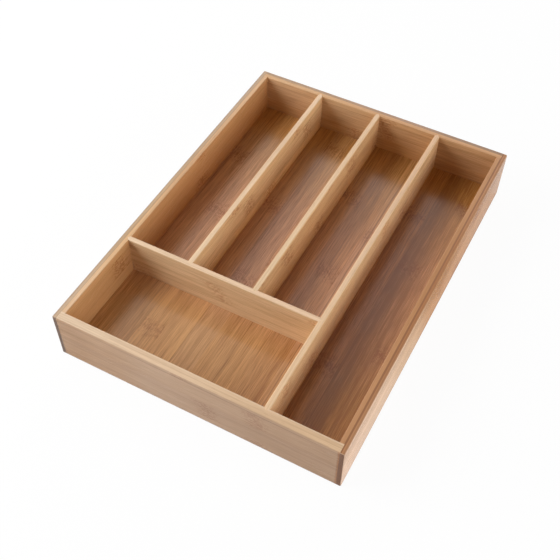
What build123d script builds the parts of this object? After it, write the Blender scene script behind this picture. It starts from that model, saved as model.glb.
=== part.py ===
from build123d import *
import math
import os

# Cutlery tray of laminated bamboo board: nine boards that are only glued, with no hardware.
# Sizes are in millimetres. X runs along the short front wall, Y from front to back, Z up.
# The origin lies on the table, under the middle of the tray.

# Overall size
tray_width = 260.0
tray_length = 355.0
tray_height = 50.0

# Outer walls: each board is pressed from two plies, and the outer ply makes the corner lip
outer_ply = 4.0
inner_ply = 4.0
wall_thickness = outer_ply + inner_ply

# Dividers: their pointed ends sit in V-notches cut with a pointed cutter
divider_thickness = 5.0
notch_angle = 90.0
front_compartment_depth = 89.0
short_divider_names = ["left_short_divider", "middle_short_divider"]

# Bottom panel: it floats in a groove in all four walls, up from the table
panel_thickness = 5.0
panel_recess = 5.5
groove_depth = 3.5
panel_edge_gap = 0.5

# Edges eased with sandpaper, as radii
rim_outer_round = 1.2
rim_inner_round = 0.6
foot_round = 0.6
divider_top_round = 0.9

# How far a cut runs past the face that it opens
cut_overrun = 2.0

# Places worked out from the sizes above
half_width = tray_width / 2
half_length = tray_length / 2
inner_half_width = half_width - wall_thickness
inner_half_length = half_length - wall_thickness
end_wall_half_length = half_width - outer_ply
floor_level = panel_recess + panel_thickness
panel_reach = groove_depth - panel_edge_gap
notch_depth = divider_thickness / 2 / math.tan(math.radians(notch_angle / 2))

# The columns are equally wide: the short dividers part the left ones, and the long divider
# closes off the last one, which is as long as the tray
column_count = len(short_divider_names) + 2
divider_count = column_count - 1
column_width = (2 * inner_half_width - divider_count * divider_thickness) / column_count
column_pitch = column_width + divider_thickness
divider_places = [
    -inner_half_width + column_pitch * number - divider_thickness / 2
    for number in range(1, column_count)
]
long_divider_place = divider_places[-1]
cross_divider_front = -inner_half_length + front_compartment_depth
cross_divider_back = cross_divider_front + divider_thickness
cross_divider_place = (cross_divider_front + cross_divider_back) / 2


def block(corner, opposite_corner):
    """A rectangular block between two opposite corners, given in any order."""
    low = [min(pair) for pair in zip(corner, opposite_corner)]
    high = [max(pair) for pair in zip(corner, opposite_corner)]
    size = [top - bottom for bottom, top in zip(low, high)]
    return Pos(*low) * Box(*size, align=(Align.MIN, Align.MIN, Align.MIN))


def sanded_frame():
    """The outline of the four glued walls, sanded round at the rim, the corners and the foot."""
    outline = block((-half_width, -half_length, 0), (half_width, half_length, tray_height))
    corners = outline.edges().filter_by(Axis.Z)
    rim = outline.edges().group_by(Axis.Z)[-1]
    outline = fillet(corners + rim, rim_outer_round)
    foot = outline.edges().group_by(Axis.Z)[0]
    outline = fillet(foot, foot_round)
    well = block(
        (-inner_half_width, -inner_half_length, -cut_overrun),
        (inner_half_width, inner_half_length, tray_height + cut_overrun),
    )
    outline = outline - well
    rim_face = outline.faces().sort_by(Axis.Z)[-1]
    inner_rim = rim_face.inner_wires()[0].edges()
    return fillet(inner_rim, rim_inner_round)


def divider_blank(start, end, rise):
    """A divider with a pointed end at start and at end, both given in plan, not yet sanded.

    It stands on the bottom panel and reaches the rim, and rise lifts its top above that.
    """
    tip = Vector(*start, floor_level)
    far_tip = Vector(*end, floor_level)
    along = (far_tip - tip).normalized()
    to_shoulder = along * notch_depth
    to_face = along.cross(Vector(0, 0, 1)) * (divider_thickness / 2)
    outline = Polyline(
        tip,
        tip + to_shoulder + to_face,
        far_tip - to_shoulder + to_face,
        far_tip,
        far_tip - to_shoulder - to_face,
        tip + to_shoulder - to_face,
        close=True,
    )
    height = tray_height - floor_level + rise
    return extrude(make_face(outline), amount=height, dir=(0, 0, 1))


def divider(start, end):
    """A finished divider, with its two long top edges sanded round."""
    blank = divider_blank(start, end, 0)
    long_top_edges = blank.edges().group_by(Axis.Z)[-1].sort_by(SortBy.LENGTH)[-2:]
    return fillet(long_top_edges, divider_top_round)


def notch_cutter(start, end):
    """What a divider's housing is cut with: its own blank, run out through the rim."""
    return divider_blank(start, end, cut_overrun)


# The tips of each divider in plan: it reaches one notch depth into the board that holds it
front_tip = -inner_half_length - notch_depth
back_tip = inner_half_length + notch_depth
long_divider_tips = ((long_divider_place, front_tip), (long_divider_place, back_tip))
cross_divider_tips = (
    (-inner_half_width - notch_depth, cross_divider_place),
    (long_divider_place - divider_thickness / 2 + notch_depth, cross_divider_place),
)
short_divider_tips = [
    ((place, cross_divider_back - notch_depth), (place, back_tip))
    for place in divider_places[:-1]
]


def side_wall(side):
    """A long wall, left for side -1 and right for side 1, rabbeted for the end walls."""
    inner_face = side * inner_half_width
    ply_line = side * (inner_half_width + inner_ply)
    wall = block((inner_face, -half_length, 0), (side * half_width, half_length, tray_height))
    wall = wall & sanded_frame()
    for end in (-1, 1):
        rabbet = block(
            (inner_face - side * cut_overrun, end * inner_half_length, -cut_overrun),
            (ply_line, end * (half_length + cut_overrun), tray_height + cut_overrun),
        )
        wall = wall - rabbet
    groove = block(
        (inner_face - side * cut_overrun, -half_length, panel_recess),
        (inner_face + side * groove_depth, half_length, floor_level),
    )
    return wall - groove


def end_wall(end):
    """A short wall, front for end -1 and back for end 1, as long as the rabbets allow."""
    inner_face = end * inner_half_length
    wall = block(
        (-end_wall_half_length, inner_face, 0),
        (end_wall_half_length, end * half_length, tray_height),
    )
    wall = wall & sanded_frame()
    groove = block(
        (-half_width, inner_face - end * cut_overrun, panel_recess),
        (half_width, inner_face + end * groove_depth, floor_level),
    )
    return wall - groove


def bottom_panel():
    """The bottom, a little smaller than its grooves so that the bamboo can swell."""
    reach_x = inner_half_width + panel_reach
    reach_y = inner_half_length + panel_reach
    return block((-reach_x, -reach_y, panel_recess), (reach_x, reach_y, floor_level))


# Walls, with a notch where each divider ends
boards = {}
boards["left_side_wall"] = side_wall(-1) - notch_cutter(*cross_divider_tips)
boards["right_side_wall"] = side_wall(1)
boards["front_wall"] = end_wall(-1) - notch_cutter(*long_divider_tips)
boards["back_wall"] = end_wall(1) - notch_cutter(*long_divider_tips)
for tips in short_divider_tips:
    boards["back_wall"] = boards["back_wall"] - notch_cutter(*tips)

# Bottom
boards["bottom_panel"] = bottom_panel()

# Dividers: the long one holds the cross divider, and that one holds the short ones
boards["long_divider"] = divider(*long_divider_tips) - notch_cutter(*cross_divider_tips)
boards["cross_divider"] = divider(*cross_divider_tips)
for name, tips in zip(short_divider_names, short_divider_tips):
    boards["cross_divider"] = boards["cross_divider"] - notch_cutter(*tips)
    boards[name] = divider(*tips)

os.makedirs("parts", exist_ok=True)
for name, board in boards.items():
    solid = board.solid()
    size = solid.bounding_box().size
    export_step(solid, f"parts/{name}.step")
    print(f"{name}: {size.X:.2f} x {size.Y:.2f} x {size.Z:.2f} mm, {solid.volume / 1000:.1f} cm3")
print(f"columns {column_width:.2f} mm wide, notches {notch_depth:.2f} mm deep")
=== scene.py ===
# %% [markdown]
# # A bamboo cutlery tray
#
# The tray is a shallow open box of bamboo board: four walls with rabbeted corners, a bottom let into a
# groove, and four dividers whose pointed ends sit in V-notches. Nothing on it is painted, printed or made
# of metal, so its whole look is the bamboo: strips glued edge to edge, long fibres, the darker knuckles
# where a cane had its joints, glue lines, sanded arrises, and a thin satin lacquer.
#
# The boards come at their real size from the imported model. This script gives each board its own bamboo,
# lights the tray with softboxes and sets up the camera.

# %% Load the tray
import math

import bpy
from mathutils import Matrix, Vector


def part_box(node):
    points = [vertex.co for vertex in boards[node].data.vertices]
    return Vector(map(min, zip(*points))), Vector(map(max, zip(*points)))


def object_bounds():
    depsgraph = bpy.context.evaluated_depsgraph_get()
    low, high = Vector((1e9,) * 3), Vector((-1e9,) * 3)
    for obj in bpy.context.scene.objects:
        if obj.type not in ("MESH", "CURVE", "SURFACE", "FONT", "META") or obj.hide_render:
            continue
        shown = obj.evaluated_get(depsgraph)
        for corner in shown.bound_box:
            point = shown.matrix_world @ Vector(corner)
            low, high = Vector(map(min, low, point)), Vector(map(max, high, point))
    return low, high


MM_PER_M = 1000.0

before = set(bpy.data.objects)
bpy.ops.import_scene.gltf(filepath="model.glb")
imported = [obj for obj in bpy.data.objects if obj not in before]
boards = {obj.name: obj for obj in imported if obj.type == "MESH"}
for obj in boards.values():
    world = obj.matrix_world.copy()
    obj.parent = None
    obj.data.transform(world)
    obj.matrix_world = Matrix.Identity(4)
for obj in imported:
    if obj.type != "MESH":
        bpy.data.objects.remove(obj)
cad_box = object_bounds()
far_corners = {}
for name in sorted(boards):
    low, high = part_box(name)
    far_corners[name] = high
    size = (high - low) * MM_PER_M
    print(f"{name}: {size.x:.1f} x {size.y:.1f} x {size.z:.1f} mm")

# %% [markdown]
# ## A bench for finishes
#
# A finish is a tree of nodes, and a tree written out socket by socket is hard to read. A small class keeps
# the tree and offers the few things that bamboo needs: sums, smooth steps, noise and colour mixes. Most of
# its methods add nodes and hand back their output, so that the recipes further down read like formulas. A
# material and a world both carry such a tree, so the same bench later serves the light of the room.
#
# A smooth step always takes two numbers: where a mark begins, and where it is full. Values that end in EDGE
# hold such a pair.

# %% The bench
WHITE = (1.0, 1.0, 1.0, 1.0)

# How many finer layers of noise ride on the first one
SMOOTH = 0.0
SOFT = 1.0
ROUGH = 2.0
RAGGED = 3.0


class Finish:
    """A finish being mixed on a material, or on the world."""

    def __init__(self, owner):
        self.owner = owner
        owner.use_nodes = True
        self.tree = owner.node_tree
        self.tree.nodes.clear()

    def node(self, kind, **settings):
        """A new node of that kind, with its settings."""
        new = self.tree.nodes.new("ShaderNode" + kind)
        for setting, value in settings.items():
            setattr(new, setting, value)
        return new

    def feed(self, socket, source):
        """Gives a socket another node's output, or a fixed value."""
        if isinstance(source, bpy.types.NodeSocket):
            self.tree.links.new(source, socket)
        else:
            socket.default_value = source

    def sum(self, operation, *sources):
        """One step of arithmetic."""
        new = self.node("Math", operation=operation)
        for socket, source in zip(new.inputs, sources):
            self.feed(socket, source)
        return new.outputs[0]

    def add(self, *sources):
        """All sources added up."""
        total = sources[0]
        for source in sources[1:]:
            total = self.sum("ADD", total, source)
        return total

    def times(self, *sources):
        """All sources multiplied."""
        total = sources[0]
        for source in sources[1:]:
            total = self.sum("MULTIPLY", total, source)
        return total

    def swing(self, value, amount):
        """A value that lies about one half, turned into a swing about nothing."""
        return self.times(self.sum("SUBTRACT", value, 0.5), amount)

    def away(self, value, place):
        """How far value lies from place, on either side."""
        return self.sum("ABSOLUTE", self.sum("SUBTRACT", value, place))

    def part_way(self, value, start, end):
        """How far value has come from start to end, from 0 to 1."""
        new = self.node("MapRange")
        self.feed(new.inputs["Value"], value)
        new.inputs["From Min"].default_value = start
        new.inputs["From Max"].default_value = end
        return new.outputs["Result"]

    def step(self, value, start, end):
        """A smooth step, 0 where value is at start and 1 where it is at end."""
        rising = end > start
        new = self.node("MapRange", interpolation_type="SMOOTHSTEP")
        self.feed(new.inputs["Value"], value)
        new.inputs["From Min"].default_value = start if rising else end
        new.inputs["From Max"].default_value = end if rising else start
        new.inputs["To Min"].default_value = 0.0 if rising else 1.0
        new.inputs["To Max"].default_value = 1.0 if rising else 0.0
        return new.outputs["Result"]

    def point(self, x, y, z):
        """Three numbers joined into one place."""
        new = self.node("CombineXYZ")
        for socket, source in zip(new.inputs, (x, y, z)):
            self.feed(socket, source)
        return new.outputs[0]

    def noise(self, place, detail=SOFT):
        """Smooth noise about one half, one blob per unit of place."""
        new = self.node("TexNoise")
        self.feed(new.inputs["Vector"], place)
        new.inputs["Scale"].default_value = 1.0
        new.inputs["Detail"].default_value = detail
        return new.outputs["Fac"]

    def chance(self, number):
        """A random number from 0 to 1 that depends on number alone."""
        new = self.node("TexWhiteNoise", noise_dimensions="1D")
        self.feed(new.inputs["W"], number)
        return new.outputs["Value"]

    def blend(self, share, first, second, how="MIX"):
        """Two colours mixed, with share of the second."""
        new = self.node("Mix", data_type="RGBA", blend_type=how)
        self.feed(new.inputs["Factor"], share)
        for socket, colour in (("A", first), ("B", second)):
            self.feed(new.inputs[socket], (*colour, 1.0) if isinstance(colour, tuple) else colour)
        return new.outputs[2]

    def tint(self, colour, by):
        """One colour multiplied by another."""
        return self.blend(1.0, colour, by, "MULTIPLY")

    def ramp(self, value, stops, interpolation):
        """The colour at value between stops, each a place from 0 to 1 and a colour."""
        new = self.node("ValToRGB")
        new.color_ramp.interpolation = interpolation
        marks = new.color_ramp.elements
        while len(marks) < len(stops):
            marks.new(1.0)
        for mark, (place, colour) in zip(marks, stops):
            mark.position = place
            mark.color = (*colour, 1.0)
        self.feed(new.inputs["Fac"], value)
        return new.outputs["Color"]


# %% [markdown]
# ## How a bamboo board is laid up
#
# A cane is split into strips, which are planed square, dried and glued edge to edge. So a board has three
# directions: along the fibres, across the strips, and through its thickness. A solid texture that knows
# these directions is right on the faces, the edges and the ends alike, and meets at every corner. The
# tray's own coordinates are used, which the boards share, because each board already lies in place.
#
# The walls are pressed from two plies. The place where the plies meet is the same on the left and the
# right wall, so distances through a board are taken without their sign.

# %% Directions of a board


def lie_of_board(finish, lay):
    """How far a point is along, across and through the board, in millimetres, and how it faces."""
    sources = finish.node("TexCoord")
    scaled = finish.node("VectorMath", operation="SCALE")
    finish.feed(scaled.inputs[0], sources.outputs["Object"])
    scaled.inputs["Scale"].default_value = MM_PER_M
    parts = finish.node("SeparateXYZ")
    finish.feed(parts.inputs[0], scaled.outputs[0])
    facing = finish.node("SeparateXYZ")
    finish.feed(facing.inputs[0], sources.outputs["Normal"])
    lie = {"place": scaled.outputs[0], "height": parts.outputs["Z"], "flatness": 0.0}
    for way, letter in zip(("along", "across", "through"), lay["axes"]):
        lie[way] = parts.outputs[letter]
        lie["facing " + way] = finish.sum("ABSOLUTE", facing.outputs[letter])
        lie["flatness"] = finish.sum("MAXIMUM", lie["flatness"], lie["facing " + way])
    lie["side"] = facing.outputs[lay["axes"][-1]]
    lie["outwards"] = finish.sum("ABSOLUTE", lie["through"])
    lie["outer ply"] = 0.0
    if "ply_line" in lay:
        lie["outer ply"] = finish.sum("GREATER_THAN", lie["outwards"], lay["ply_line"])
    return lie


def stretched(finish, lie, length, width, shift=0.0):
    """A place counted in blobs, each this long along the fibres and this wide across them."""
    return finish.point(
        finish.sum("DIVIDE", finish.add(lie["along"], shift), length),
        finish.sum("DIVIDE", lie["across"], width),
        finish.sum("DIVIDE", lie["through"], width),
    )


# %% [markdown]
# ## Strips and seams
#
# Every strip was cut from another cane, so each draws a few lucky numbers of its own: how dark it is, how
# warm its hue is, and where its fibres and knuckles lie. The seam between two strips is a hairline of
# glue, plain in one place and hardly to be seen in the next.

# %% Strips and seams

# Added to a strip's number, so that two plies or two draws never get the same luck
OTHER_PLY = 31.7
OTHER_LUCK = 5.3


def strip_at(finish, lay, lie):
    """The strip that a point lies on: its luck, and how far the point is from the nearest seam."""
    count = finish.sum("DIVIDE", finish.sum("SUBTRACT", lie["across"], lay["first_seam"]), lay["strip"])
    share = finish.sum("FRACT", count)
    nearer_side = finish.sum("MINIMUM", share, finish.sum("SUBTRACT", 1.0, share))
    ply = finish.times(lie["outer ply"], OTHER_PLY)
    cane = finish.add(finish.sum("FLOOR", count), ply, lay["seed"])
    seam = finish.add(finish.sum("ROUND", count), ply, lay["seed"] + OTHER_LUCK)
    return {
        "share": share,
        "to seam": finish.times(nearer_side, lay["strip"]),
        "luck": finish.chance(cane),
        "knuckle luck": finish.chance(finish.add(cane, OTHER_LUCK)),
        "hue luck": finish.chance(finish.add(cane, 2 * OTHER_LUCK)),
        "seam luck": finish.chance(seam),
    }


def value_by_strip(finish, lay, lie, values):
    """One set value for each strip, counted from the first seam."""
    last_seam = lay["first_seam"] + lay["strip"] * len(values)
    share = finish.part_way(lie["across"], lay["first_seam"], last_seam)
    low = min(values)
    reach = max(values) - low or 1.0
    stops = [(number / len(values), ((value - low) / reach,) * 3) for number, value in enumerate(values)]
    return finish.add(finish.times(finish.ramp(share, stops, "CONSTANT"), reach), low)


# %% [markdown]
# ## Fibres
#
# Bamboo has no growth rings. Its look comes from bundles of fibres: broad soft bands, narrower bundles,
# single hairs, and the short dark dashes of sap channels that the plane cut open. Each is noise drawn out
# along the strip, and every strip starts at another place in it.

# %% Fibres

# How long each kind is along the board and how wide across it, in millimetres
BANDS = (140.0, 4.2)
BUNDLES = (64.0, 1.3)
HAIRS = (22.0, 0.5)
DASHES = (7.0, 0.6)
DRIFT = (110.0, 26.0)

DASH_EDGE = (0.64, 0.76)
CANE_LENGTH = 900.0


def fibres_of_strip(finish, lie, strip):
    """Bands, bundles, hairs and slow drift, each about one half, and dashes from 0 to 1."""
    shift = finish.times(strip["luck"], CANE_LENGTH)
    channels = finish.noise(stretched(finish, lie, *DASHES, shift), SMOOTH)
    return {
        "bands": finish.noise(stretched(finish, lie, *BANDS, shift)),
        "bundles": finish.noise(stretched(finish, lie, *BUNDLES, shift), ROUGH),
        "hairs": finish.noise(stretched(finish, lie, *HAIRS, shift)),
        "dashes": finish.step(channels, *DASH_EDGE),
        "drift": finish.noise(stretched(finish, lie, *DRIFT, shift)),
    }


# %% [markdown]
# ## Knuckles
#
# Where the cane had a joint, the fibres run into each other. After planing this shows as a ragged scar
# across the strip with reddish mottles round it. Most boards have the places of theirs set, strip by strip,
# and on a board without any set luck places them. A knuckle comes back once in every spacing, and not at
# all where the spacing is longer than the tray.
#
# A knuckle goes deep on the side of a strip that faced the heart of the cane, and shows only half as strong
# on the other side.

# %% Knuckles
KNUCKLE_SPACING = 190.0
JUST_ONE = 400.0
LEAN = 4.0
WANDER = (26.0, 6.0)
WANDER_REACH = 12.0
SCAR_EDGE = (3.0, 0.4)
SCAR_SHARE = 0.22
MOTTLES = (2.6, 1.6)
MOTTLE_EDGE = (0.42, 0.60)
HALO_EDGE = (14.0, 4.0)
HALO_SHARE = 0.78
WEAK_SIDE = 0.5
SIDE_EDGE = (-0.3, 0.3)


def knuckle_of_strip(finish, lay, lie, strip):
    """How much a point is part of a knuckle, from 0 to 1."""
    spacing = lay.get("knuckle_spacing", KNUCKLE_SPACING)
    if isinstance(spacing, list):
        spacing = value_by_strip(finish, lay, lie, spacing)
    if "knuckles" in lay:
        centre = value_by_strip(finish, lay, lie, lay["knuckles"])
    else:
        centre = finish.times(strip["knuckle luck"], spacing)
    wander = finish.swing(finish.noise(stretched(finish, lie, *WANDER)), WANDER_REACH)
    lean = finish.swing(strip["share"], lay.get("knuckle_lean", LEAN))
    offset = finish.add(finish.sum("SUBTRACT", lie["along"], centre), wander, lean)
    half = finish.times(spacing, 0.5)
    near = finish.sum("ABSOLUTE", finish.sum("WRAP", offset, half, finish.times(half, -1.0)))
    mottles = finish.step(finish.noise(stretched(finish, lie, *MOTTLES), ROUGH), *MOTTLE_EDGE)
    scar = finish.times(finish.step(near, *SCAR_EDGE), SCAR_SHARE)
    halo = finish.times(finish.step(near, *HALO_EDGE), mottles, HALO_SHARE)
    towards_heart = finish.times(lie["side"], lay.get("heart_side", 1.0))
    heart_side = finish.step(towards_heart, *SIDE_EDGE)
    strength = finish.add(WEAK_SIDE, finish.times(heart_side, 1.0 - WEAK_SIDE))
    return finish.times(finish.add(scar, halo), strength)


# %% [markdown]
# ## The tone of a board
#
# A board's tone may drift along its length. The drift of the rims, and of some faces, is painted light: they
# are paler towards the front and the left, where the key stands, and darker towards the back and the right.
# The right side wall's outer face runs from cream at the front to rosy at the back, partly its own tone and
# partly painted light. The grain then makes it lighter or darker: a depth of 0 is the palest bamboo and 1
# the deepest, and dark bamboo is also a little redder.

# %% Tones
BOARD_REACH = 180.0
PALE_GRAIN = (1.34, 1.42, 1.50)
DEEP_GRAIN = (0.66, 0.58, 0.50)


def tone_along(finish, lie, stops):
    """The board's tone, which drifts from stop to stop along its length, in millimetres, mostly as painted
    light.
    """
    if len(stops) == 1:
        return stops[0][1]
    share = finish.part_way(lie["along"], -BOARD_REACH, BOARD_REACH)
    places = [((place + BOARD_REACH) / (2 * BOARD_REACH), colour) for place, colour in stops]
    return finish.ramp(share, places, "EASE")


def tone_by_ply(finish, lie, lay, inner, outer):
    """The tone of the inner ply, and where a board has an outer ply, that ply's tone."""
    tone = tone_along(finish, lie, lay[inner])
    if outer in lay:
        tone = finish.blend(lie["outer ply"], tone, tone_along(finish, lie, lay[outer]))
    return tone


def grained(finish, tone, depth):
    """A tone made lighter or darker by the grain."""
    inside = finish.sum("MAXIMUM", finish.sum("MINIMUM", depth, 1.0), 0.0)
    return finish.tint(tone, finish.blend(inside, PALE_GRAIN, DEEP_GRAIN))


# %% [markdown]
# ## Faces
#
# A face shows strips, seams and knuckles. How deep its tone is at a point is a sum: the strip's own depth,
# the drift and the fibres in it, and a little more at a knuckle or a seam. Then the strip's hue is warmed or
# cooled, and the scars are reddened.
#
# Two marks are laid on top where the real tray has them: a sap line, which follows the fibres, and a darker
# stretch in the outer ply.

# %% Faces
GLUE = (0.20, 0.095, 0.045)
SCAR_RED = (0.90, 0.80, 0.78)
COOL_STRIP = (1.00, 0.975, 1.00)
WARM_STRIP = (1.04, 0.908, 0.64)
HUE_RANGE = 0.26
FACE_DEPTH = 0.46
STRIP_SWING = 0.16
FACE_DRIFT = 0.30
FACE_GRAIN = {"bands": 0.72, "bundles": 0.95, "hairs": 1.20, "dashes": 0.12}
KNUCKLE_DEPTH = 0.30
SEAM_EDGE = (0.5, 0.1)
FAINT_SEAM = 0.05
SEAM_RANGE = 0.30
SAP_BEND = 2.0


def fibre_depth(finish, fibres, grain, streaks=1.0):
    """How much the fibres deepen a point, with each kind as strong as grain says."""
    swings = [finish.swing(fibres[kind], grain[kind] * streaks) for kind in ("bands", "bundles", "hairs")]
    return finish.add(*swings, finish.times(fibres["dashes"], grain["dashes"] * streaks))


def strip_depth(finish, lay, lie, strip):
    """How deep a strip's own tone is."""
    if "depths" in lay:
        return value_by_strip(finish, lay, lie, lay["depths"])
    return finish.add(FACE_DEPTH, finish.swing(strip["luck"], lay.get("strip_swing", STRIP_SWING)))


def strip_warmth(finish, lay, lie, strip):
    """How warm a strip's hue is."""
    if "warmth" in lay:
        return value_by_strip(finish, lay, lie, lay["warmth"])
    return finish.times(strip["hue luck"], HUE_RANGE)


def dark_marks(finish, lay, lie, fibres, colour):
    """A colour with the sap lines and the darker stretches of the board on it."""
    for place, reach, share in lay.get("sap_lines", []):
        bent = finish.add(lie["across"], finish.swing(fibres["drift"], SAP_BEND))
        near = finish.step(finish.away(bent, place), reach, 0.0)
        colour = finish.blend(finish.times(near, share), colour, GLUE)
    for (place, length), (height, reach), share, shade in lay.get("dark_stretches", []):
        near_middle = finish.step(finish.away(lie["along"], place), length, 0.0)
        near_line = finish.step(finish.away(lie["across"], height), reach, 0.0)
        near = finish.times(near_middle, near_line, lie["outer ply"])
        colour = finish.blend(finish.times(near, share), colour, shade)
    return colour


def face_colour(finish, lay, lie, strip, fibres, knuckle):
    """The wide faces of a board."""
    seam_depth = finish.add(FAINT_SEAM, finish.times(strip["seam luck"], SEAM_RANGE))
    depth = finish.add(
        strip_depth(finish, lay, lie, strip),
        finish.swing(fibres["drift"], FACE_DRIFT),
        fibre_depth(finish, fibres, FACE_GRAIN, lay.get("streaks", 1.0)),
        finish.times(knuckle, lay.get("knuckle_depth", KNUCKLE_DEPTH)),
        finish.times(finish.step(strip["to seam"], *SEAM_EDGE), seam_depth),
    )
    colour = grained(finish, tone_by_ply(finish, lie, lay, "faces", "outer_faces"), depth)
    hue = finish.blend(strip_warmth(finish, lay, lie, strip), COOL_STRIP, WARM_STRIP)
    colour = finish.tint(colour, hue)
    colour = finish.blend(knuckle, colour, finish.tint(colour, SCAR_RED))
    return dark_marks(finish, lay, lie, fibres, colour)


# %% [markdown]
# ## Rims and ends
#
# A rim shows the edge of one strip only: dense straight fibres, and on a wall the glue line between its two
# plies. An end shows the cut bundles as dark specks. Which of them a point is on follows from where its
# surface faces.

# %% Rims and ends
RIM_DEPTH = 0.48
RIM_GRAIN = {"bands": 0.40, "bundles": 0.55, "hairs": 0.35, "dashes": 0.10}
LINE_CORE_SHARE = 0.5
END_GRAIN = ((0.26, 0.135, 0.075), (0.13, 0.06, 0.035))
END_DEPTH = 0.25
END_DRIFT = 0.4
SPECKS_PER_MM = 1.1
SPECK_EDGE = (0.45, 0.2)
SPECK_DEPTH = 0.5


def rim_colour(finish, lay, lie, fibres):
    """The top edge of a board."""
    depth = finish.add(RIM_DEPTH, fibre_depth(finish, fibres, RIM_GRAIN))
    colour = grained(finish, tone_by_ply(finish, lie, lay, "rim", "outer_rim"), depth)
    for place, reach, share, line in lay.get("rim_lines", []):
        near = finish.step(finish.away(lie["outwards"], place), reach, reach * LINE_CORE_SHARE)
        colour = finish.blend(finish.times(near, share), colour, line)
    return colour


def end_colour(finish, lay, lie, fibres):
    """The ends of a board, where the bundles show as specks."""
    specks = finish.node("TexVoronoi", feature="F1")
    finish.feed(specks.inputs["Vector"], lie["place"])
    specks.inputs["Scale"].default_value = SPECKS_PER_MM
    speck = finish.times(finish.step(specks.outputs["Distance"], *SPECK_EDGE), SPECK_DEPTH)
    depth = finish.add(END_DEPTH, speck, finish.swing(fibres["drift"], END_DRIFT))
    return finish.blend(depth, *lay.get("ends", END_GRAIN))


# %% [markdown]
# ## Wear, and shade at the foot
#
# Handling leaves its marks: dull rubbed patches, fine scuffs at a slant to the grain, and worn arrises,
# whose darkening on a wall's outer ply is partly painted shade. A ragged band along the foot is painted
# shade where the board meets the table, and its lacquer is duller there. An arris is found without any map
# of edges: it is where the surface faces none of the board's three directions squarely.

# %% Wear and shade at the foot

# How long a mark is along the board and how wide across it, in millimetres
RUBS = (60.0, 34.0)
SCUFFS = (26.0, 0.28)
FOOT_LINE = (9.0, 4.0)

RUB_EDGE = (0.52, 0.68)
SCUFF_EDGE = (0.72, 0.80)
SCUFF_SLANT = 0.45
SCUFF_DEPTH = 9.0
ARRIS_EDGE = (0.97, 0.80)
FOOT_EDGE = (2.2, 0.2)
FOOT_CLIMB = 3.0


def scuffs_of_board(finish, lie):
    """Noise drawn out at a slant to the grain."""
    scuff_length, scuff_width = SCUFFS
    slid_across = finish.times(lie["across"], SCUFF_SLANT)
    slid_along = finish.times(lie["along"], -SCUFF_SLANT)
    slant = finish.point(
        finish.sum("DIVIDE", finish.add(lie["along"], slid_across), scuff_length),
        finish.sum("DIVIDE", finish.add(lie["across"], slid_along), scuff_width),
        finish.sum("DIVIDE", lie["through"], SCUFF_DEPTH),
    )
    return finish.noise(slant, SMOOTH)


def wear_of_board(finish, lie):
    """Rubbed patches, scuffs, arrises and a ragged band along the foot, each from 0 to 1; the band carries
    painted shade.
    """
    patches = finish.noise(stretched(finish, lie, *RUBS), RAGGED)
    climb = finish.swing(finish.noise(stretched(finish, lie, *FOOT_LINE), ROUGH), FOOT_CLIMB)
    return {
        "rubbed": finish.step(patches, *RUB_EDGE),
        "scuffs": finish.step(scuffs_of_board(finish, lie), *SCUFF_EDGE),
        "arris": finish.step(lie["flatness"], *ARRIS_EDGE),
        "foot": finish.step(finish.add(lie["height"], climb), *FOOT_EDGE),
    }


# %% [markdown]
# ## Lacquer
#
# The tray has one thin coat of satin lacquer, brushed on and rubbed down, so the fibres still stand a few
# hundredths of a millimetre proud and the seams lie a little low. Worn places, rims and ends are duller
# than a face.

# %% Lacquer
SATIN = 0.20
LACQUER_IOR = 1.40
SHEEN_SWING = {"bundles": 0.12, "hairs": 0.10}
WEAR_DULLS = {"rubbed": 0.05, "scuffs": 0.12, "arris": 0.05, "foot": 0.20}
RIM_DULLS = 0.22
END_DULLS = 0.25
FIBRE_RELIEF = 0.03
STANDS_PROUD = {"bundles": 0.50, "hairs": 0.45, "dashes": -0.25}
DIP_EDGE = (0.35, 0.05)
SEAM_DIP = -0.35
KNUCKLE_DIP = -0.25
SCUFF_DIP = -0.20


def lacquered(finish, colour, strip, fibres, knuckle, wear, on_rim, on_end):
    """The shader: bamboo under a satin lacquer that the fibres show through."""
    roughness = finish.add(
        SATIN,
        *[finish.swing(fibres[kind], amount) for kind, amount in SHEEN_SWING.items()],
        *[finish.times(wear[mark], amount) for mark, amount in WEAR_DULLS.items()],
        finish.times(on_rim, RIM_DULLS),
        finish.times(on_end, END_DULLS),
    )
    height = finish.add(
        *[finish.times(fibres[kind], amount) for kind, amount in STANDS_PROUD.items()],
        finish.times(finish.step(strip["to seam"], *DIP_EDGE), SEAM_DIP),
        finish.times(knuckle, KNUCKLE_DIP),
        finish.times(wear["scuffs"], SCUFF_DIP),
    )
    bump = finish.node("Bump")
    bump.inputs["Distance"].default_value = FIBRE_RELIEF / MM_PER_M
    finish.feed(bump.inputs["Height"], height)
    shader = finish.node("BsdfPrincipled")
    finish.feed(shader.inputs["Base Color"], colour)
    finish.feed(shader.inputs["Roughness"], roughness)
    shader.inputs["IOR"].default_value = LACQUER_IOR
    finish.feed(shader.inputs["Normal"], bump.outputs["Normal"])
    return shader.outputs["BSDF"]


# %% [markdown]
# ## One board's bamboo
#
# The steps above are now put together, once for each board, because no two boards of the tray are alike.
# The bottom's edges are hidden in the groove, so it has no rim.

# %% One board's bamboo
EDGE_ON = (0.75, 0.92)
# Painted shade along the foot, where the board meets the table
FOOT_SHADE = (0.30, 0.20, 0.14)
FOOT_SHADE_SHARE = 0.45


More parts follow.
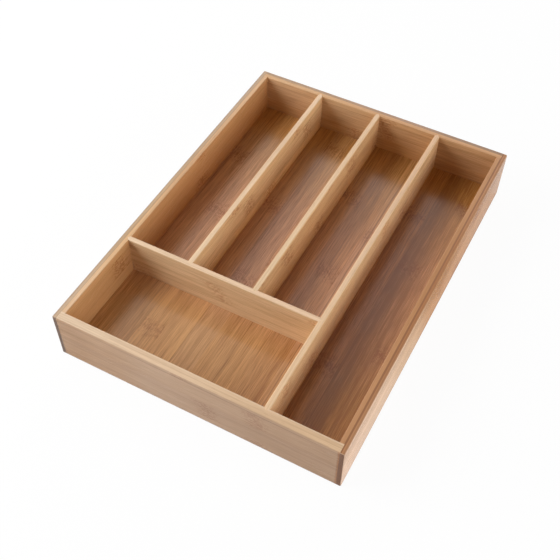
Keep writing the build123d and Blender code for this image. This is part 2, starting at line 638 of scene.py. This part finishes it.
def bamboo(name, lay):
    """The finish of one board, from its lay-up."""
    finish = Finish(bpy.data.materials.new(name))
    lie = lie_of_board(finish, lay)
    strip = strip_at(finish, lay, lie)
    fibres = fibres_of_strip(finish, lie, strip)
    knuckle = knuckle_of_strip(finish, lay, lie, strip)
    wear = wear_of_board(finish, lie)
    on_rim = finish.step(lie["facing across"], *EDGE_ON)
    on_end = finish.step(lie["facing along"], *EDGE_ON)
    colour = face_colour(finish, lay, lie, strip, fibres, knuckle)
    if "rim" in lay:
        colour = finish.blend(on_rim, colour, rim_colour(finish, lay, lie, fibres))
        # Darkened arrises: on a wall's outer ply partly wear, partly painted shade where the rounded edge
        # turns from the light
        arris_tone, share = lay["arris"]
        darkened_arris = wear["arris"]
        if "ply_line" in lay:
            darkened_arris = finish.times(darkened_arris, lie["outer ply"])
        colour = finish.blend(finish.times(darkened_arris, share), colour, arris_tone)
        # Painted shade at the foot
        colour = finish.blend(finish.times(wear["foot"], FOOT_SHADE_SHARE), colour, FOOT_SHADE)
    colour = finish.blend(on_end, colour, end_colour(finish, lay, lie, fibres))
    shader = lacquered(finish, colour, strip, fibres, knuckle, wear, on_rim, on_end)
    output = finish.node("OutputMaterial")
    finish.feed(output.inputs["Surface"], shader)
    return finish.owner


# %% [markdown]
# ## What a lay-up says
#
# A lay-up tells how one board is made. Its places and widths are millimetres, counted from the middle of the
# tray, and its heights from the table.
#
# `axes` names the tray's axes that run along, across and through the board. `strip` is the width of its
# strips, `first_seam` is where the first one starts, and `seed` is where the board's luck starts. `faces`
# and `rim` are tones with their places along the board. A wall's outer ply starts at `ply_line` and has its
# own tones. `depths` and `warmth` have one value for each strip, `strip_swing` is how far luck varies the
# strips that have none, and `streaks` is how strong the fibres are.
#
# `knuckles` are places along the board, one for each strip from the first seam on, and `knuckle_spacing` is
# how far it is to the next, for the whole board or strip by strip. `knuckle_depth` and `knuckle_lean` say
# how dark and how slanted they are, and `heart_side` is -1 where their strong side faces the front.
#
# A sap line has its place across the board, its half width and its share. A dark stretch has its place and
# half length along the board, the same across it, its share and its tone. A line on a rim has its place,
# half width, share and tone. `arris` is the tone and share of the darkened arrises; on a wall only the outer
# ply's arrises are darkened, partly by wear and partly as painted shade where the rounded edge turns from
# the light. `ends` are the two tones of end grain.
#
# The tones were listed first. Most were then scaled by the measured ratio of the photo to a render, and
# rounded, by a small script. This was done in rounds, until each board came within nine percent.

# %% Measures that the lay-ups follow
OUTER_PLY = 4.0
USUAL_STRIP = 20.0
RIGHT_WALL_STRIPS = 3
BOTTOM_STRIPS = 12
MM_DECIMALS = 3


def in_mm(metres):
    """A length of the frame in millimetres, without the noise of its last digits."""
    return round(metres * MM_PER_M, MM_DECIMALS)


half_width, half_length, wall_height = (in_mm(reach) for reach in cad_box[1])
side_ply_line = half_width - OUTER_PLY
end_ply_line = half_length - OUTER_PLY
bottom_edge = in_mm(far_corners["bottom_panel"].x)
bottom_strip = 2 * bottom_edge / BOTTOM_STRIPS
print(f"plies meet {side_ply_line:.1f} mm from the middle in the sides, {end_ply_line:.1f} mm in the ends")
print(f"bottom strips are {bottom_strip:.2f} mm wide")

# %% [markdown]
# ## Dividers
#
# The dividers are thin single boards of pale bamboo with calm fibres. Only the cross divider has its strips'
# depths set, because the wide front compartment shows its whole front face.

# %% Dividers
# The rims' tones drift paler towards the front and the left: painted light.
LAYS = {}
LAYS["left_short_divider"] = {
    "axes": "YZX", "strip": USUAL_STRIP, "first_seam": 1.0, "seed": 1.0, "streaks": 0.65,
    "faces": [(0.0, (0.758, 0.528, 0.291))],
    "rim": [(-70.0, (0.779, 0.556, 0.355)), (160.0, (0.734, 0.499, 0.315))],
    "arris": ((0.70, 0.48, 0.28), 0.3),
    "knuckles": [60.0, 20.0, -5.0], "knuckle_spacing": 118.0,
}
LAYS["middle_short_divider"] = {
    "axes": "YZX", "strip": USUAL_STRIP, "first_seam": 7.0, "seed": 7.0, "streaks": 0.65,
    "faces": [(0.0, (0.685, 0.456, 0.24))],
    "rim": [(-70.0, (0.727, 0.51, 0.309)), (160.0, (0.708, 0.471, 0.284))],
    "arris": ((0.70, 0.47, 0.27), 0.3),
    "knuckles": [40.0, -22.0, 60.0], "knuckle_spacing": 129.0,
}
LAYS["long_divider"] = {
    "axes": "YZX", "strip": USUAL_STRIP, "first_seam": 11.0, "seed": 13.0, "streaks": 0.65,
    "faces": [(0.0, (0.796, 0.548, 0.301))],
    "rim": [
        (-150.0, (0.747, 0.504, 0.301)), (30.0, (0.723, 0.485, 0.301)), (150.0, (0.686, 0.427, 0.25)),
    ],
    "arris": ((0.70, 0.48, 0.28), 0.3),
    "knuckles": [-100.0, 45.0],
}
LAYS["cross_divider"] = {
    "axes": "XZY", "heart_side": -1.0, "strip": USUAL_STRIP, "first_seam": 0.0, "seed": 19.0,
    "streaks": 0.7, "depths": [0.40, 0.48, 0.48],
    "faces": [(0.0, (0.664, 0.482, 0.29))],
    "rim": [(-120.0, (0.761, 0.549, 0.359)), (50.0, (0.755, 0.514, 0.333))],
    "arris": ((0.70, 0.48, 0.28), 0.3),
    "knuckles": [80.0, -34.0, 60.0], "knuckle_lean": 12.0, "knuckle_depth": 0.15,
}
print(f"{len(LAYS)} dividers laid up")

# %% [markdown]
# ## Front and back wall
#
# The outer ply of the front wall is greyer than its rim, and reddish in its last millimetre on the right,
# beside the lip of the side wall. A pale line along the inner edge of its rim is a painted highlight. The
# back wall has a warm inner ply and a dark outer one, so its rim is two-toned.

# %% Front and back wall
# The rims, and the back wall's faces, drift paler towards the left: painted light.
LAYS["front_wall"] = {
    "axes": "XZY", "heart_side": -1.0, "strip": USUAL_STRIP, "first_seam": 7.0, "seed": 23.0,
    "ply_line": end_ply_line, "streaks": 0.45, "strip_swing": 0.08, "knuckle_depth": 0.18,
    "faces": [(0.0, (0.62, 0.38, 0.21))],
    "outer_faces": [
        (-115.0, (0.463, 0.275, 0.145)), (-80.0, (0.516, 0.324, 0.187)),
        (-35.0, (0.552, 0.37, 0.236)), (25.0, (0.54, 0.356, 0.224)),
        (90.0, (0.51, 0.327, 0.198)), (124.8, (0.51, 0.327, 0.198)), (125.3, (0.395, 0.178, 0.075)),
    ],
    "rim": [
        (-110.0, (0.68, 0.495, 0.332)), (-40.0, (0.667, 0.462, 0.293)), (110.0, (0.641, 0.425, 0.252)),
    ],
    # The second rim line is a painted highlight along the inner edge
    "rim_lines": [(end_ply_line, 0.4, 0.12, GLUE), (170.3, 0.9, 0.5, (0.80, 0.60, 0.42))],
    # The darker outer arrises are partly painted shade on the rounded edge
    "arris": ((0.50, 0.34, 0.23), 0.30),
}
LAYS["back_wall"] = {
    "axes": "XZY", "heart_side": -1.0, "strip": USUAL_STRIP, "first_seam": 3.5, "seed": 29.0,
    "ply_line": end_ply_line, "streaks": 0.7, "depths": [0.52, 0.51, 0.44],
    "faces": [
        (-93.0, (0.598, 0.383, 0.209)), (-31.0, (0.577, 0.374, 0.2)),
        (31.0, (0.552, 0.336, 0.166)), (93.0, (0.507, 0.301, 0.146)),
    ],
    "outer_faces": [(0.0, (0.60, 0.38, 0.22))],
    "rim": [
        (-110.0, (0.61, 0.356, 0.171)), (20.0, (0.591, 0.316, 0.142)), (100.0, (0.546, 0.285, 0.127)),
    ],
    "outer_rim": [
        (-110.0, (0.385, 0.238, 0.135)), (20.0, (0.358, 0.202, 0.114)), (100.0, (0.303, 0.173, 0.095)),
    ],
    "rim_lines": [(end_ply_line, 0.4, 0.12, GLUE)],
    # The dark outer arris is partly painted shade on the rounded edge
    "arris": ((0.24, 0.165, 0.125), 0.5),
    "knuckles": [-20.0, 10.0, 10.0], "knuckle_depth": 0.22,
}
print(f"{len(LAYS)} boards laid up")

# %% [markdown]
# ## Side walls
#
# The left wall is warm inside, and its outer edge is greyish: partly its own tone, partly painted shade on
# the rounded edge that turns from the light. The right wall's outer face is three strips high. It runs from
# cream at the front to rosy at the back, partly its own tone and partly painted light that falls off towards
# the back, and its lower strips are paler, painted light thrown up from the table. Its rim is the reddest of
# all.

# %% Side walls
# The left wall's rim and inner face drift paler towards the front: painted light.
LAYS["left_side_wall"] = {
    "axes": "YZX", "strip": USUAL_STRIP, "first_seam": 3.0, "seed": 31.0,
    "ply_line": side_ply_line, "streaks": 0.4,
    "faces": [
        (-150.0, (0.583, 0.333, 0.144)), (-90.0, (0.583, 0.333, 0.144)), (-60.0, (0.521, 0.289, 0.125)),
    ],
    "outer_faces": [(0.0, (0.62, 0.40, 0.24))],
    "rim": [
        (-160.0, (0.648, 0.417, 0.242)), (-80.0, (0.623, 0.373, 0.187)),
        (20.0, (0.586, 0.341, 0.175)), (120.0, (0.611, 0.365, 0.191)),
    ],
    "outer_rim": [
        (-160.0, (0.537, 0.368, 0.236)), (-60.0, (0.511, 0.334, 0.191)), (150.0, (0.481, 0.321, 0.201)),
    ],
    # The grey line at the outer edge and the dark arris are partly painted shade on the rounded edge
    "rim_lines": [(side_ply_line, 0.5, 0.25, GLUE), (half_width, 2.0, 0.5, (0.30, 0.22, 0.165))],
    "arris": ((0.26, 0.19, 0.145), 0.85),
    "knuckles": [40.0, -97.0, 40.0], "knuckle_spacing": JUST_ONE,
    "ends": ((0.20, 0.125, 0.085), (0.11, 0.06, 0.04)),
}
LAYS["right_side_wall"] = {
    "axes": "YZX", "strip": wall_height / RIGHT_WALL_STRIPS, "first_seam": 0.0, "seed": 37.0,
    # The paler lower strips are painted light thrown up from the table
    "ply_line": side_ply_line, "streaks": 0.5, "depths": [0.44, 0.45, 0.60],
    "faces": [(0.0, (0.62, 0.38, 0.21))],
    # Cream at the front to rosy at the back: partly the wall's own tone, partly painted light falling off
    # towards the back
    "outer_faces": [
        (-160.0, (0.90, 0.65, 0.47)), (-100.0, (0.905, 0.65, 0.445)),
        (-45.0, (0.815, 0.545, 0.33)), (5.0, (0.668, 0.352, 0.155)),
        (70.0, (0.685, 0.378, 0.188)), (130.0, (0.67, 0.408, 0.246)),
    ],
    "sap_lines": [(43.0, 9.0, 0.13)],
    "dark_stretches": [((12.0, 75.0), (42.0, 22.0), 0.68, (0.41, 0.157, 0.01))],
    "rim": [
        (-150.0, (0.477, 0.232, 0.102)), (0.0, (0.459, 0.215, 0.083)), (150.0, (0.477, 0.232, 0.098)),
    ],
    "outer_rim": [
        (-150.0, (0.418, 0.197, 0.087)), (-20.0, (0.4, 0.164, 0.059)), (150.0, (0.428, 0.197, 0.087)),
    ],
    "rim_lines": [(126.3, 1.0, 0.75, (0.22, 0.085, 0.03)), (128.4, 0.4, 0.3, GLUE)],
    # The darker outer arris is partly painted shade on the rounded edge
    "arris": ((0.42, 0.25, 0.16), 0.45),
    "knuckles": [60.0, 17.0, 100.0], "knuckle_spacing": JUST_ONE,
    "ends": ((0.27, 0.13, 0.068), (0.16, 0.072, 0.037)),
}
print(f"{len(LAYS)} boards laid up")

# %% [markdown]
# ## Bottom
#
# The bottom is the liveliest board: twelve strips of caramel bamboo that run the length of the tray, each
# with its own depth and warmth. The two darkest lie under the full-length compartment. Towards its back end
# the bottom's tone is darker and more saturated, painted shade near the back wall, which keeps the sheen off
# the floor there.

# %% Bottom
LAYS["bottom_panel"] = {
    "axes": "YXZ", "strip": bottom_strip, "first_seam": -bottom_edge, "seed": 41.0, "streaks": 1.25,
    "depths": [0.37, 0.33, 0.31, 0.31, 0.43, 0.47, 0.37, 0.60, 0.42, 0.58, 0.93, 0.78],
    "warmth": [0.57, 0.48, 0.55, 0.46, 0.12, 0.42, 0.47, 0.42, 0.04, 1.0, 0.90, 0.78],
    # Darker and more saturated at the back end: painted shade near the back wall
    "faces": [
        (-120.0, (0.471, 0.255, 0.102)), (-60.0, (0.508, 0.275, 0.144)),
        (20.0, (0.527, 0.286, 0.153)), (150.0, (0.484, 0.270, 0.100)),
    ],
    "sap_lines": [(46.4, 1.0, 0.6)],
    "knuckles": [93.0, 18.0, -127.0, 48.0, 145.0, -20.0, 92.0, -2.0, 55.0, 100.0, 38.0, -62.0],
    "knuckle_spacing": [
        JUST_ONE, KNUCKLE_SPACING, KNUCKLE_SPACING, JUST_ONE, KNUCKLE_SPACING, JUST_ONE,
        JUST_ONE, KNUCKLE_SPACING, JUST_ONE, KNUCKLE_SPACING, JUST_ONE, KNUCKLE_SPACING,
    ],
    "knuckle_depth": 0.28,
}
print(f"{len(LAYS)} boards laid up")

# %% [markdown]
# ## Dressing the boards
#
# Each board keeps the mesh and the material slots of the imported model, and only gets another material in
# its slots. So the dressed tray has exactly the imported shape.

# %% Dressing the boards
for name, lay in LAYS.items():
    dress = bamboo(name + "_bamboo", lay)
    for slot in boards[name].material_slots:
        slot.material = dress
    print(f"{name}: {len(dress.node_tree.nodes)} nodes in its bamboo")

# %% [markdown]
# ## A white floor that keeps the shadow
#
# The photo is cut out on plain white, with hardly a shadow left. A floor that simply glows white would look
# like that, but it would also light the tray from below like a lamp. So the floor is two things: seen by the
# camera it is white with a small share of real, lit paper, which carries the soft shadow and fades away from
# the tray, and for all other rays it is plain white paper, which throws a little light back on the walls as
# a real table does.

# %% The floor
FLOOR_SIZE = 8.0
FLOOR_GAP = 0.0002
PAPER = (0.8, 0.8, 0.8, 1.0)
LIT_PAPER = (0.95, 0.95, 0.95, 1.0)
SHADOW_SHARE = 0.05
SHADOW_EDGE = (1.1, 0.35)


def studio_white():
    """White that keeps a faint shadow where the camera sees it, and lights the tray as white paper does."""
    finish = Finish(bpy.data.materials.new("studio_white"))
    paper = finish.node("BsdfDiffuse")
    paper.inputs["Color"].default_value = PAPER
    lit_paper = finish.node("BsdfDiffuse")
    lit_paper.inputs["Color"].default_value = LIT_PAPER
    glow = finish.node("Emission")
    glow.inputs["Color"].default_value = WHITE
    glow.inputs["Strength"].default_value = 1.0
    sources = finish.node("TexCoord")
    distance = finish.node("VectorMath", operation="LENGTH")
    finish.feed(distance.inputs[0], sources.outputs["Object"])
    near = finish.step(distance.outputs["Value"], *SHADOW_EDGE)
    seen = finish.node("MixShader")
    finish.feed(seen.inputs["Fac"], finish.times(near, SHADOW_SHARE))
    finish.feed(seen.inputs[1], glow.outputs[0])
    finish.feed(seen.inputs[2], lit_paper.outputs[0])
    path = finish.node("LightPath")
    straight = finish.sum("MAXIMUM", path.outputs["Is Camera Ray"], path.outputs["Is Transmission Ray"])
    choose = finish.node("MixShader")
    finish.feed(choose.inputs["Fac"], straight)
    finish.feed(choose.inputs[1], paper.outputs[0])
    finish.feed(choose.inputs[2], seen.outputs[0])
    output = finish.node("OutputMaterial")
    finish.feed(output.inputs["Surface"], choose.outputs[0])
    return finish.owner


bpy.ops.object.select_all(action="DESELECT")
bpy.ops.mesh.primitive_plane_add(size=FLOOR_SIZE, location=(0.0, 0.0, -FLOOR_GAP))
floor = bpy.context.object
floor.name = "floor"
floor.data.materials.append(studio_white())
print(f"floor: {FLOOR_SIZE:.0f} m square, {FLOOR_GAP * MM_PER_M:.1f} mm under the tray")

# %% [markdown]
# ## The room round the tray
#
# The room is white where the camera or the satin lacquer looks at it, and almost dark for the light that
# falls on the tray. The softboxes can then shape the light as in the photo, where each compartment darkens
# towards its back end, while the lacquer still has something pale to mirror.

# %% The room round the tray
ROOM_GLOW = 0.02

world = bpy.data.worlds.new("studio")
bpy.context.scene.world = world
room = Finish(world)
path = room.node("LightPath")
looked_at = room.sum("MAXIMUM", path.outputs["Is Camera Ray"], path.outputs["Is Glossy Ray"])
seen_white = room.sum("MAXIMUM", looked_at, path.outputs["Is Transmission Ray"])
strength = room.node("MapRange")
room.feed(strength.inputs["Value"], seen_white)
strength.inputs["To Min"].default_value = ROOM_GLOW
strength.inputs["To Max"].default_value = 1.0
background = room.node("Background")
background.inputs["Color"].default_value = WHITE
room.feed(background.inputs["Strength"], strength.outputs["Result"])
room_output = room.node("OutputWorld")
room.feed(room_output.inputs["Surface"], background.outputs["Background"])
print(f"room: {len(room.tree.nodes)} nodes, and a glow of {ROOM_GLOW} on the tray")

# %% [markdown]
# ## Softboxes
#
# The shadows inside the compartments tell where the light stood: a large key at the front left, low enough
# to leave the left side of each compartment dark, and a wide one at the right, nearly as bright, which
# lights the right outer face. Three weak ones, at the left and behind, lay the bluish-grey sheen on the
# bottom, halfway down each compartment.
#
# Where they stand and how bright they are was found by measuring: the tray was rendered with one lamp at a
# time, and least squares picked the mix that came nearest to the tones of the photo. The key was then made
# larger and set anew. A lamp's power grows with the square of its distance, so its brightness is given at
# the tray instead.

# %% Softboxes
LAMP_DISTANCE = 1.6

# Azimuth and elevation in degrees, width and height in metres, and brightness
SOFTBOXES = {
    "key_front_left": (300.0, 30.0, 1.3, 1.3, 1.02),
    "high_left": (260.0, 50.0, 0.92, 0.92, 0.23),
    "high_back": (207.0, 46.0, 1.0, 1.0, 0.09),
    "back": (195.0, 24.0, 0.92, 0.92, 0.21),
    "right": (90.0, 18.0, 2.0, 1.0, 0.88),
}


def direction(azimuth, elevation):
    """Unit vector from the tray; azimuth 0 is the front, 90 the right, and elevation is above the floor."""
    turn = math.radians(azimuth)
    lift = math.radians(elevation)
    return Vector((math.sin(turn) * math.cos(lift), -math.cos(turn) * math.cos(lift), math.sin(lift)))


def softbox(name, azimuth, elevation, width, height, brightness):
    """A softbox aimed at the tray, with brightness 1 lighting a white card to white."""
    light = bpy.data.lights.new(name, "AREA")
    light.shape = "ELLIPSE" if width == height else "RECTANGLE"
    light.size = width
    light.size_y = height
    light.energy = brightness * (math.pi * LAMP_DISTANCE) ** 2
    lamp = bpy.data.objects.new(name, light)
    bpy.context.scene.collection.objects.link(lamp)
    outward = direction(azimuth, elevation)
    lamp.location = outward * LAMP_DISTANCE
    lamp.rotation_euler = outward.to_track_quat("Z", "Y").to_euler()
    return lamp


for name, placing in SOFTBOXES.items():
    lamp = softbox(name, *placing)
    print(f"{name}: {lamp.data.energy:.1f} W")

# %% [markdown]
# ## Camera
#
# The camera was found by least squares from the tray's seven visible outer corners: it stands to the right
# of the front and looks down at about fifty degrees. The lens is given in pixels of the picture, because
# that is what the corners tell, and turned into a focal length for the sensor here.

# %% Camera
PICTURE_SIDE = 560
CAMERA_TURN = 27.39
CAMERA_TILT = 51.24
CAMERA_ROLL = 0.86
CAMERA_DISTANCE = 0.80358
CAMERA_AIM = Vector((-0.00523, -0.02166, 0.0))
FOCAL_LENGTH_PX = 891.78
SENSOR_MM = 36.0

turn = math.radians(CAMERA_TURN)
back = direction(CAMERA_TURN, CAMERA_TILT)
level_right = Vector((math.cos(turn), math.sin(turn), 0.0))
level_up = back.cross(level_right)
roll = math.radians(CAMERA_ROLL)
right = level_right * math.cos(roll) + level_up * math.sin(roll)
up = level_up * math.cos(roll) - level_right * math.sin(roll)
camera_data = bpy.data.cameras.new("camera")
camera_data.sensor_width = SENSOR_MM
camera_data.lens = FOCAL_LENGTH_PX * SENSOR_MM / PICTURE_SIDE
camera = bpy.data.objects.new("camera", camera_data)
bpy.context.scene.collection.objects.link(camera)
pose = Matrix((right, up, back)).transposed().to_4x4()
pose.translation = CAMERA_AIM + back * CAMERA_DISTANCE
camera.matrix_world = pose
bpy.context.scene.camera = camera
bpy.context.scene.view_settings.view_transform = "Standard"
print(f"camera: {camera_data.lens:.1f} mm lens, {CAMERA_DISTANCE:.2f} m from where it looks")

# %% [markdown]
# ## Summary
#
# Nothing was moved or added, so the dressed tray must fill exactly the box of the imported one.

# %% Summary
print(f"{len(LAYS)} boards dressed, {len(SOFTBOXES)} softboxes")
